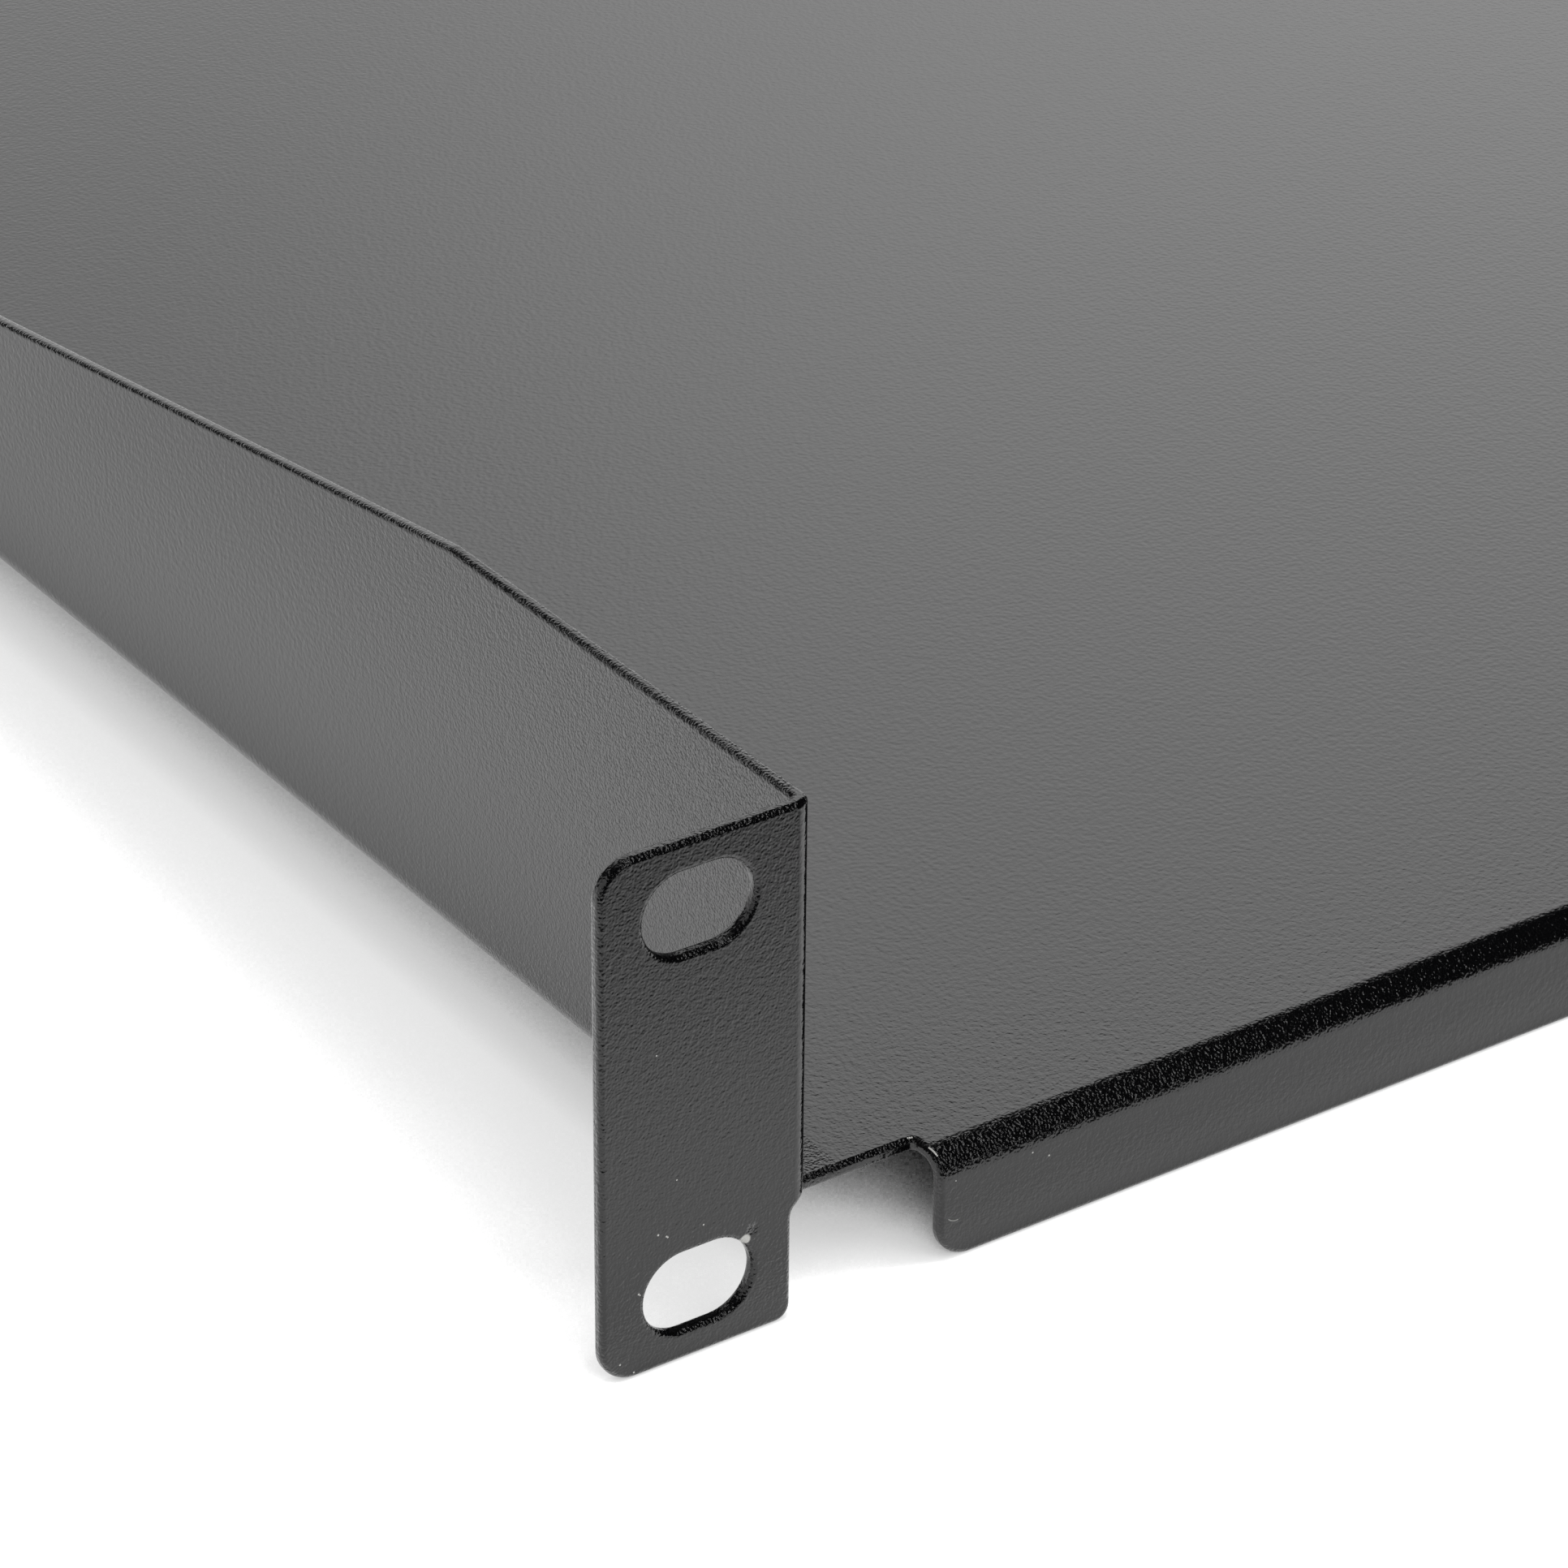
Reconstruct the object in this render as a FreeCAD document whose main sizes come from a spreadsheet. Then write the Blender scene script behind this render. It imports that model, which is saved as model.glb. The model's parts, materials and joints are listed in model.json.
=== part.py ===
import FreeCAD, Part
import math
import os

import Sketcher

# A 1U cantilever rack shelf, cut and folded from one steel sheet and powder coated.
#
# The tray is the base of the fold. Two side walls turn up from its short edges and carry the load to the
# ears, so they are tallest at the front and taper towards the free rear. At the front each wall turns
# outwards again into an ear with two rack slots, and the ear's tail reaches down past the tray. The front
# and rear edges of the tray turn down into lips that stiffen it.
#
# The frame is the rack's own: X runs across the rack, +Y goes into it and +Z is up. The origin is the middle
# of the four rack slots, on the rear face of the ears, which is the face that seats on the rack's rails.

# Driving sizes, in millimetres
SIZES = [
    ("slot_spacing_across", 465.1, "rack slots, left to right, centre to centre"),
    ("slot_spacing_up", 31.75, "rack slots, lower to upper, centre to centre"),
    ("slot_length", 9.8, "rack slot, end to end"),
    ("slot_width", 7.1, "rack slot, across"),
    ("slot_to_tip", 8.45, "slot centre to the outer end of the ear"),
    ("slot_to_head", 5.825, "slot centre to the head or foot of the ear"),
    ("slot_to_wall", 8.55, "slot centre to the outer face of the side wall"),
    ("sheet_gauge", 1.2, "thickness of the coated sheet"),
    ("fold_radius", 1.1, "inner radius of the folds round the tray"),
    ("ear_fold_radius", 0.3, "inner radius of the fold between wall and ear"),
    ("shelf_depth", 254.0, "front of the ears to the rear face of the rear lip"),
    ("lip_height", 9.4, "top of the tray to the foot of the lips and ears"),
    ("lip_lead", 0.5, "front face of the lip ahead of the ears"),
    ("lip_gap", 11.4, "inner face of a wall to the end of a lip"),
    ("notch_setback", 3.0, "cut edge of the tray behind the front of the ears"),
    ("tail_clearance", 0.45, "inner edge of the ear's tail beyond the wall's outer face"),
    ("relief_gap", 0.1, "top of the tray's fold to the top of the relief under the ear's fold"),
    ("relief_radius", 3.0, "rounded end of that relief"),
    ("level_length", 47.0, "front of the ears to where the wall starts to taper"),
    ("rear_wall_rise", 7.8, "top of the wall above the tray at the rear"),
    ("ear_corner_radius", 3.0, "outer corners of each ear"),
    ("tail_corner_radius", 1.3, "inner lower corner of each ear"),
    ("lip_corner_radius", 3.0, "lower corners of both lips"),
    ("rear_corner_radius", 3.0, "upper rear corner of each wall"),
    ("notch_radius", 0.4, "inner corners of the notches and reliefs"),
]

SIDES = {"left": -1, "right": 1}

doc = FreeCAD.newDocument("rack_shelf")

sheet = doc.addObject("Spreadsheet::Sheet", "Sizes")
for row, (alias, millimetres, meaning) in enumerate(SIZES, start=1):
    sheet.set(f"A{row}", alias)
    sheet.set(f"B{row}", str(millimetres))
    sheet.set(f"C{row}", meaning)
    sheet.setAlias(f"B{row}", alias)
doc.recompute()

# Places that several features share, as expressions over the sheet
EAR_FRONT = "-Sizes.sheet_gauge"
LIP_FRONT = f"{EAR_FRONT} - Sizes.lip_lead"
TRAY_FRONT = f"{EAR_FRONT} + Sizes.notch_setback"
REAR_FACE = f"{EAR_FRONT} + Sizes.shelf_depth"
TRAY_REAR = f"{REAR_FACE} - (Sizes.lip_lead + Sizes.notch_setback)"
TAPER_START = f"{EAR_FRONT} + Sizes.level_length"

HEAD = "(Sizes.slot_spacing_up / 2 + Sizes.slot_to_head)"
FOOT = f"-{HEAD}"
TRAY_TOP = f"{FOOT} + Sizes.lip_height"
TRAY_UNDERSIDE = f"{TRAY_TOP} - Sizes.sheet_gauge"
RELIEF_TOP = f"{TRAY_TOP} + Sizes.fold_radius + Sizes.relief_gap"
REAR_WALL_TOP = f"{TRAY_TOP} + Sizes.rear_wall_rise"

EAR_TIP = "(Sizes.slot_spacing_across / 2 + Sizes.slot_to_tip)"
WALL_OUTER = "(Sizes.slot_spacing_across / 2 - Sizes.slot_to_wall)"
WALL_INNER = f"({WALL_OUTER} - Sizes.sheet_gauge)"
TAIL_INNER = f"({WALL_OUTER} + Sizes.tail_clearance)"
LIP_END = f"({WALL_INNER} - Sizes.lip_gap)"

OUTER_FOLD = "Sizes.fold_radius + Sizes.sheet_gauge"
OUTER_EAR_FOLD = "Sizes.ear_fold_radius + Sizes.sheet_gauge"

# How far a cutting outline stands clear of the metal that it removes
CLEAR = "Sizes.sheet_gauge"

# Two places nearer than this, in millimetres, are the same
SAME_PLACE = 1e-4


def number(expression):
    """Give the value in millimetres of an expression over the sheet."""
    value = sheet.evalExpression(expression)
    return float(getattr(value, "Value", value))


def mirrored(side, expression):
    """Give the expression for the same place on the left (-1) or right (1) half."""
    return f"{side} * ({expression})"


def new_sketch(body, name, role, offset=None):
    """Add a sketch on one of the body's own planes, moved along that plane's normal by an expression."""
    sketch = body.newObject("Sketcher::SketchObject", name)
    plane = next(part for part in body.Origin.OriginFeatures if part.Role == role)
    sketch.AttachmentSupport = [(plane, "")]
    sketch.MapMode = "FlatFace"
    if offset is not None:
        sketch.setExpression("AttachmentOffset.Base.z", offset)
    return sketch


def bind(sketch, constraint, expression):
    """Add a constraint whose value follows an expression."""
    index = sketch.addConstraint(constraint)
    sketch.setExpression(f"Constraints[{index}]", expression)


def add_line(sketch, start, end, axis, place):
    """Draw a line that is upright at x = place (axis "x") or level at y = place (axis "y")."""
    line = sketch.addGeometry(Part.LineSegment(start, end), False)
    if axis == "x":
        sketch.addConstraint(Sketcher.Constraint("Vertical", line))
        bind(sketch, Sketcher.Constraint("DistanceX", -1, 1, line, 1, start.x), place)
    else:
        sketch.addConstraint(Sketcher.Constraint("Horizontal", line))
        bind(sketch, Sketcher.Constraint("DistanceY", -1, 1, line, 1, start.y), place)
    return line


def add_square_outline(sketch, sides):
    """Draw a closed outline whose sides are upright and level in turn.

    Each side is (axis, place, radius). Axis "x" is an upright side at that x and "y" a level side at that y.
    The radius, where it isn't None, rounds the corner between this side and the next.
    """
    count = len(sides)
    places = [number(place) for _, place, _ in sides]
    radii = [0.0 if radius is None else number(radius) for _, _, radius in sides]
    corners = []
    for here in range(count):
        pair = (places[here], places[(here + 1) % count])
        across, up = pair if sides[here][0] == "x" else reversed(pair)
        corners.append(FreeCAD.Vector(across, up, 0))

    lines = []
    for here, (axis, place, _) in enumerate(sides):
        start, end = corners[here - 1], corners[here]
        along = (end - start).normalize()
        start += along * radii[here - 1]
        end -= along * radii[here]
        lines.append(add_line(sketch, start, end, axis, place))

    for here, (_, _, radius) in enumerate(sides):
        line, following = lines[here], lines[(here + 1) % count]
        if radius is None:
            sketch.addConstraint(Sketcher.Constraint("Coincident", line, 2, following, 1))
        else:
            round_corner(sketch, line, following, radii[here], radius)


def add_arc(sketch, centre, start, end, turns_left):
    """Draw an arc from start to end and give its number and the numbers of its near and far ends."""
    first, last = (start, end) if turns_left else (end, start)
    first_angle = math.atan2(first.y - centre.y, first.x - centre.x)
    last_angle = math.atan2(last.y - centre.y, last.x - centre.x)
    circle = Part.Circle(centre, FreeCAD.Vector(0, 0, 1), (start - centre).Length)
    arc = sketch.addGeometry(Part.ArcOfCircle(circle, first_angle, last_angle), False)
    return (arc, 1, 2) if turns_left else (arc, 2, 1)


def round_corner(sketch, line, following, size, radius):
    """Join the end of one line to the start of the next with an arc that is tangent to both."""
    start = sketch.Geometry[line].EndPoint
    end = sketch.Geometry[following].StartPoint
    incoming = (start - sketch.Geometry[line].StartPoint).normalize()
    outgoing = (sketch.Geometry[following].EndPoint - end).normalize()
    turns_left = incoming.cross(outgoing).z > 0
    arc, near, far = add_arc(sketch, start + outgoing * size, start, end, turns_left)
    sketch.addConstraint(Sketcher.Constraint("Tangent", line, 2, arc, near))
    sketch.addConstraint(Sketcher.Constraint("Tangent", following, 1, arc, far))
    bind(sketch, Sketcher.Constraint("Radius", arc, size), radius)


def add_relief_outline(sketch, side):
    """Draw the cut beside an ear's tail: up the tail, round an arc to the wall, then level across the wall.

    The arc leaves the tail's edge smoothly and ends on the wall's outer face, at the top of the relief.
    """
    size = number("Sizes.relief_radius")
    tail, wall = mirrored(side, TAIL_INNER), mirrored(side, WALL_OUTER)
    clear_of_wall = mirrored(side, f"{WALL_INNER} - {CLEAR}")
    below = f"{FOOT} - {CLEAR}"
    top = number(RELIEF_TOP)
    reach = size - number("Sizes.tail_clearance")
    arc_foot = top - math.sqrt(size**2 - reach**2)

    tail_foot = FreeCAD.Vector(number(tail), number(below), 0)
    tail_head = FreeCAD.Vector(number(tail), arc_foot, 0)
    arc_end = FreeCAD.Vector(number(wall), top, 0)
    inner_head = FreeCAD.Vector(number(clear_of_wall), top, 0)
    inner_foot = FreeCAD.Vector(number(clear_of_wall), number(below), 0)
    centre = FreeCAD.Vector(number(tail) - side * size, arc_foot, 0)

    tail_line = add_line(sketch, tail_foot, tail_head, "x", tail)
    arc, near, far = add_arc(sketch, centre, tail_head, arc_end, side > 0)
    top_line = add_line(sketch, arc_end, inner_head, "y", RELIEF_TOP)
    inner_line = add_line(sketch, inner_head, inner_foot, "x", clear_of_wall)
    foot_line = add_line(sketch, inner_foot, tail_foot, "y", below)
    sketch.addConstraint(Sketcher.Constraint("Tangent", tail_line, 2, arc, near))
    bind(sketch, Sketcher.Constraint("Radius", arc, size), "Sizes.relief_radius")
    sketch.addConstraint(Sketcher.Constraint("Coincident", arc, far, top_line, 1))
    bind(sketch, Sketcher.Constraint("DistanceX", -1, 1, top_line, 1, arc_end.x), wall)
    sketch.addConstraint(Sketcher.Constraint("Coincident", top_line, 2, inner_line, 1))
    sketch.addConstraint(Sketcher.Constraint("Coincident", inner_line, 2, foot_line, 1))
    sketch.addConstraint(Sketcher.Constraint("Coincident", foot_line, 2, tail_line, 1))


def add_polygon(sketch, corners):
    """Draw a closed polygon through corners given as pairs of expressions."""
    points = [FreeCAD.Vector(number(across), number(up), 0) for across, up in corners]
    count = len(points)
    lines = []
    for here in range(count):
        edge = Part.LineSegment(points[here], points[(here + 1) % count])
        lines.append(sketch.addGeometry(edge, False))
    for here, (across, up) in enumerate(corners):
        line = lines[here]
        sketch.addConstraint(Sketcher.Constraint("Coincident", lines[here - 1], 2, line, 1))
        bind(sketch, Sketcher.Constraint("DistanceX", -1, 1, line, 1, points[here].x), across)
        bind(sketch, Sketcher.Constraint("DistanceY", -1, 1, line, 1, points[here].y), up)


def add_slot(sketch, across, up):
    """Draw a level slot: two half circles joined by two tangent lines, centred at (across, up)."""
    half_run = "(Sizes.slot_length - Sizes.slot_width) / 2"
    radius = "Sizes.slot_width / 2"
    size = number(radius)
    rise = FreeCAD.Vector(0, size, 0)
    ends = []
    for direction, first_angle in ((-1, math.pi / 2), (1, -math.pi / 2)):
        place = f"{across} + {direction} * {half_run}"
        centre = FreeCAD.Vector(number(place), number(up), 0)
        circle = Part.Circle(centre, FreeCAD.Vector(0, 0, 1), size)
        arc = sketch.addGeometry(Part.ArcOfCircle(circle, first_angle, first_angle + math.pi), False)
        bind(sketch, Sketcher.Constraint("DistanceX", -1, 1, arc, 3, centre.x), place)
        bind(sketch, Sketcher.Constraint("DistanceY", -1, 1, arc, 3, centre.y), up)
        ends.append((arc, centre))
    (left, left_centre), (right, right_centre) = ends
    lower = sketch.addGeometry(Part.LineSegment(left_centre - rise, right_centre - rise), False)
    upper = sketch.addGeometry(Part.LineSegment(right_centre + rise, left_centre + rise), False)
    sketch.addConstraint(Sketcher.Constraint("Tangent", left, 2, lower, 1))
    sketch.addConstraint(Sketcher.Constraint("Tangent", lower, 2, right, 1))
    sketch.addConstraint(Sketcher.Constraint("Tangent", right, 2, upper, 1))
    sketch.addConstraint(Sketcher.Constraint("Tangent", upper, 2, left, 1))
    bind(sketch, Sketcher.Constraint("Radius", left, size), radius)
    sketch.addConstraint(Sketcher.Constraint("Equal", left, right))


def add_pad(body, sketch, name, length, side_type="One side", reverse=False):
    """Thicken a sketch into metal."""
    pad = body.newObject("PartDesign::Pad", name)
    pad.Profile = sketch
    pad.SideType = side_type
    pad.Reversed = reverse
    pad.setExpression("Length", length)
    pad.Refine = True
    body.Tip = pad
    doc.recompute()
    return pad


def add_pocket(body, sketch, name, side_type="One side", reverse=False):
    """Cut a sketch right through the metal, and fail where it removes nothing."""
    before = body.Shape.Volume
    pocket = body.newObject("PartDesign::Pocket", name)
    pocket.Profile = sketch
    pocket.Type = "ThroughAll"
    pocket.SideType = side_type
    pocket.Reversed = reverse
    pocket.Refine = True
    body.Tip = pocket
    doc.recompute()
    if body.Shape.Volume >= before:
        raise RuntimeError(f"{name} removes nothing")
    return pocket


def add_fillet(body, name, radius, direction, places):
    """Round the edges that run along a direction, one through each of the places, on both halves."""
    base = body.Tip
    points = []
    for across, back, up in places:
        points += [FreeCAD.Vector(side * number(across), number(back), number(up)) for side in SIDES.values()]
    chosen = []
    for index, edge in enumerate(base.Shape.Edges, start=1):
        if edge.Curve.TypeId != "Part::GeomLine" or edge.Curve.Direction.cross(direction).Length > SAME_PLACE:
            continue
        if any(edge.distToShape(Part.Vertex(point))[0] < SAME_PLACE for point in points):
            chosen.append(f"Edge{index}")
    if len(chosen) != len(points):
        raise RuntimeError(f"{name} found {len(chosen)} of {len(points)} edges")
    fillet = body.newObject("PartDesign::Fillet", name)
    fillet.Base = (base, chosen)
    fillet.setExpression("Radius", radius)
    body.Tip = fillet
    doc.recompute()


def build_channel(body):
    """Tray and side walls: a wide shallow U, pushed from the notched front edge to the rear one."""
    sketch = new_sketch(body, "channel_section", "XZ_Plane", f"-({TRAY_FRONT})")
    add_square_outline(
        sketch,
        [
            ("x", mirrored(-1, WALL_OUTER), OUTER_FOLD),
            ("y", TRAY_UNDERSIDE, OUTER_FOLD),
            ("x", WALL_OUTER, None),
            ("y", HEAD, None),
            ("x", WALL_INNER, "Sizes.fold_radius"),
            ("y", TRAY_TOP, "Sizes.fold_radius"),
            ("x", mirrored(-1, WALL_INNER), None),
            ("y", HEAD, None),
        ],
    )
    add_pad(body, sketch, "channel", f"{TRAY_REAR} - ({TRAY_FRONT})", reverse=True)


def build_ears(body):
    """Front ends of the walls, folded outwards into the ears, over the ears' full height."""
    sketch = new_sketch(body, "ear_section", "XY_Plane")
    for side in SIDES.values():
        add_square_outline(
            sketch,
            [
                ("y", EAR_FRONT, OUTER_EAR_FOLD),
                ("x", mirrored(side, WALL_INNER), None),
                ("y", TRAY_FRONT, None),
                ("x", mirrored(side, WALL_OUTER), "Sizes.ear_fold_radius"),
                ("y", "0", None),
                ("x", mirrored(side, EAR_TIP), None),
            ],
        )
    add_pad(body, sketch, "ears", f"2 * {HEAD}", side_type="Symmetric")


def build_lip(body, name, face, inner_face, tray_edge):
    """A downturned lip: an L across the tray, between the corner notches."""
    sketch = new_sketch(body, f"{name}_section", "YZ_Plane")
    add_square_outline(
        sketch,
        [
            ("y", TRAY_TOP, OUTER_FOLD),
            ("x", face, None),
            ("y", FOOT, None),
            ("x", inner_face, "Sizes.fold_radius"),
            ("y", TRAY_UNDERSIDE, None),
            ("x", tray_edge, None),
        ],
    )
    add_pad(body, sketch, name, f"2 * {LIP_END}", side_type="Symmetric")


def cut_fold_relief(body):
    """Frees the ear's tail from the wall and the tray, with a rounded end under the ear's fold."""
    sketch = new_sketch(body, "fold_relief_outline", "XZ_Plane", f"-({TRAY_FRONT})")
    for side in SIDES.values():
        add_relief_outline(sketch, side)
    add_pocket(body, sketch, "fold_relief", reverse=True)


def cut_wall_taper(body):
    """Slopes the top of both walls down from the end of the level stretch to the rear."""
    sketch = new_sketch(body, "wall_taper_outline", "YZ_Plane")
    add_polygon(
        sketch,
        [
            (TAPER_START, HEAD),
            (TRAY_REAR, REAR_WALL_TOP),
            (f"{TRAY_REAR} + {CLEAR}", REAR_WALL_TOP),
            (f"{TRAY_REAR} + {CLEAR}", f"{HEAD} + {CLEAR}"),
            (TAPER_START, f"{HEAD} + {CLEAR}"),
        ],
    )
    add_pocket(body, sketch, "wall_taper", side_type="Symmetric")


def cut_rack_slots(body):
    """Four level slots that take the rack screws."""
    sketch = new_sketch(body, "rack_slot_outlines", "XZ_Plane", f"{CLEAR} * 2")
    for side in SIDES.values():
        for level in (-1, 1):
            add_slot(
                sketch,
                f"{side} * Sizes.slot_spacing_across / 2",
                f"{level} * Sizes.slot_spacing_up / 2",
            )
    add_pocket(body, sketch, "rack_slots")


def round_corners(body):
    """Rounds the corners that the blank was cut with, on ears, lips, walls and notches."""
    into_rack = FreeCAD.Vector(0, 1, 0)
    across_rack = FreeCAD.Vector(1, 0, 0)
    upright = FreeCAD.Vector(0, 0, 1)
    half_gauge = "Sizes.sheet_gauge / 2"
    in_ear = f"{EAR_FRONT} / 2"
    in_front_lip = f"{LIP_FRONT} + {half_gauge}"
    in_rear_lip = f"{REAR_FACE} - {half_gauge}"
    in_wall = f"{WALL_OUTER} - {half_gauge}"
    in_tray = f"{TRAY_TOP} - {half_gauge}"
    outer_corners = [(EAR_TIP, in_ear, FOOT), (EAR_TIP, in_ear, HEAD)]
    tail_corner = [(TAIL_INNER, in_ear, FOOT)]
    lip_corners = [(LIP_END, in_front_lip, FOOT), (LIP_END, in_rear_lip, FOOT)]
    rear_corner = [(in_wall, TRAY_REAR, REAR_WALL_TOP)]
    notches = [(LIP_END, TRAY_FRONT, in_tray), (LIP_END, TRAY_REAR, in_tray)]
    relief_corner = [(in_wall, TRAY_FRONT, RELIEF_TOP)]
    add_fillet(body, "ear_corners", "Sizes.ear_corner_radius", into_rack, outer_corners)
    add_fillet(body, "tail_corners", "Sizes.tail_corner_radius", into_rack, tail_corner)
    add_fillet(body, "lip_corners", "Sizes.lip_corner_radius", into_rack, lip_corners)
    add_fillet(body, "rear_corners", "Sizes.rear_corner_radius", across_rack, rear_corner)
    add_fillet(body, "notch_corners", "Sizes.notch_radius", upright, notches)
    add_fillet(body, "relief_corners", "Sizes.notch_radius", across_rack, relief_corner)


def build_shelf():
    """The whole shelf, in the order in which its sections, cuts and corners depend on each other."""
    body = doc.addObject("PartDesign::Body", "shelf")
    body.Label = "shelf"
    build_channel(body)
    build_ears(body)
    build_lip(body, "front_lip", LIP_FRONT, f"{LIP_FRONT} + Sizes.sheet_gauge", TRAY_FRONT)
    build_lip(body, "rear_lip", REAR_FACE, f"{REAR_FACE} - Sizes.sheet_gauge", TRAY_REAR)
    cut_fold_relief(body)
    cut_wall_taper(body)
    cut_rack_slots(body)
    round_corners(body)
    body.Placement = FreeCAD.Placement()
    return body


def check_document(subparts):
    """Stop before anything is written if a feature failed or a sub-part isn't one sound solid."""
    for item in doc.Objects:
        if "Invalid" in item.State or "Error" in item.State:
            raise RuntimeError(f"{item.Name} failed: {item.State}")
        if item.TypeId == "Sketcher::SketchObject" and not item.FullyConstrained:
            raise RuntimeError(f"{item.Name} isn't fully constrained")
    for subpart in subparts:
        shape = subpart.Shape
        if shape.isNull() or not shape.isValid() or len(shape.Solids) != 1:
            raise RuntimeError(f"{subpart.Label} isn't one valid solid")


subparts = [build_shelf()]
doc.recompute()
check_document(subparts)
os.makedirs("parts", exist_ok=True)
for subpart in subparts:
    subpart.Shape.exportStep(f"parts/{subpart.Label}.step")
    print(subpart.Label, round(subpart.Shape.Volume), "cubic mm", subpart.Shape.BoundBox)
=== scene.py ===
"""A folded 1U cantilever rack shelf in textured black powder coat, on a white studio floor.

The shelf is one piece of sheet steel, so it is made the way the real one is: a flat blank with rounded
corners and four rack slots, folded up by a formula that carries any point of the blank to its place.
"""

import json
import math
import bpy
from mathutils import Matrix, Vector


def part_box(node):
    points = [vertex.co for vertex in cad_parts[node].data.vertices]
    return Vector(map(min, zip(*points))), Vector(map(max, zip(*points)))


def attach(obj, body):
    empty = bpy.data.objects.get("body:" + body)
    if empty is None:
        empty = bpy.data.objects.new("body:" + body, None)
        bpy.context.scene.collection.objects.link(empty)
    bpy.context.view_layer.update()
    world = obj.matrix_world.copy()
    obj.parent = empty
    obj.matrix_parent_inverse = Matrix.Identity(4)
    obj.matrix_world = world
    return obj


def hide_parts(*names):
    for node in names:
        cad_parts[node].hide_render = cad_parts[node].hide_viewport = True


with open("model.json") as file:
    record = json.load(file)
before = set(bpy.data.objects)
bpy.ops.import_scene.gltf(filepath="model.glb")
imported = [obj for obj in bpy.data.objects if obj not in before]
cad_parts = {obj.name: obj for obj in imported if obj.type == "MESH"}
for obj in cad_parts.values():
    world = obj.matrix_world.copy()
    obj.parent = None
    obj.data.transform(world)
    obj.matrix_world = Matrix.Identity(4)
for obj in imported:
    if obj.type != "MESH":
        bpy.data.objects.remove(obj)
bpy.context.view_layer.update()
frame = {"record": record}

from types import SimpleNamespace

import bpy
import numpy as np
from bpy.props import FloatProperty, FloatVectorProperty, IntProperty, PointerProperty
from bpy.types import Operator, Panel, PropertyGroup
from mathutils import Matrix, Vector
from mathutils.geometry import delaunay_2d_cdt

bl_info = {
    "name": "Cantilever Rack Shelf",
    "version": (1, 0, 0),
    "blender": (4, 5, 0),
    "location": "3D View > Sidebar > Rack Shelf",
    "description": "Folds a cantilever rack shelf from its flat blank and sets it on a studio floor",
    "category": "Add Mesh",
}

MM = 0.001
LOW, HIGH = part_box("shelf")
RACK_SLOTS = next(mount for mount in frame["record"]["mounts"] if mount["name"] == "rack_slots")["dims"]
SLOT_ACROSS = RACK_SLOTS["spacing_x_mm"] * MM
SLOT_UP = RACK_SLOTS["spacing_y_mm"] * MM

# The photograph's frame, in pixels, the lens that it was taken with, as a focal length in those pixels, and
# the width of the camera's sensor, in millimetres
PHOTO_WIDTH = 1932
FOCAL_LENGTH_PX = 6821.8
SENSOR_WIDTH = 36.0
# Where the camera stands, in millimetres, how it is turned (from +Y towards +X, down, and to the side), and
# the nearest and farthest that it sees, in metres
CAMERA_PLACE = (-417.28, -276.25, 212.46)
CAMERA_HEADING = math.radians(34.878)
CAMERA_TILT = math.radians(29.381)
CAMERA_ROLL = math.radians(0.588)
CAMERA_NEAR, CAMERA_FAR = 0.01, 100.0
# Half the side of the square floor, in metres
FLOOR_REACH = 12.0

QUARTER_TURN = math.pi / 2
# Two flat places nearer than this, in metres, are the same
SAME_PLACE = 1e-9
# The same for the filling of the faces, in millimetres
SAME_CORNER_MM = 1e-5
# The most that a rounded corner turns from one point to the next
ARC_STEP = math.radians(5)
# Steps of the rounding between a face and the straight cut of an edge
EDGE_STEPS = 5
# A point that has turned less than this, in radians, into the fold of an ear is still on its edge
FOLD_EDGE = 0.01

# Attribute of the mesh: how heavily the coat lies, from 0 on open faces to 1 on folds and rounded edges
COAT_BUILD = "coat_build"
# The same on the flat of an ear, and on the fold from wall to ear, where the coat is drawn thin
EAR_BUILD = 0.4
EAR_FOLD_BUILD = -0.2

# How deep the grain is, as shares of its full depth: what heavy coat adds to it, what the shelf has at its
# front, and what it has on open faces from a distance behind the front
FOLD_GRAIN = 1.0
FRONT_GRAIN = 0.6
OPEN_GRAIN = 0.1
FRONT_REACH = 40 * MM
# All of that falls to a share in the middle of the shelf, over most of a distance from the tips of the ears
MIDDLE_GRAIN = 0.3
SIDE_REACH = 130 * MM
# What the walls add, outward of a place across the shelf. It rises just behind the ears, and falls to a share
# towards the rear
WALL_SIDE = 218 * MM
WALL_GRAIN = 1.6
WALL_RISE = (0.2 * MM, 1.2 * MM)
WALL_FALL = (10 * MM, 70 * MM)
WALL_REAR_GRAIN = 0.1
# What a spot just past the nick adds, with its place in millimetres
COARSE_SPOT = (-227.95, -1.2, -12.65)
COARSE_REACH = 0.65 * MM
COARSE_GRAIN = 2.5
# Detail of the noises that the grain and the ripples are made of
GRAIN_DETAIL = 0.5
# Refractive index of the coat's resin
COAT_IOR = 1.5

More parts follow.
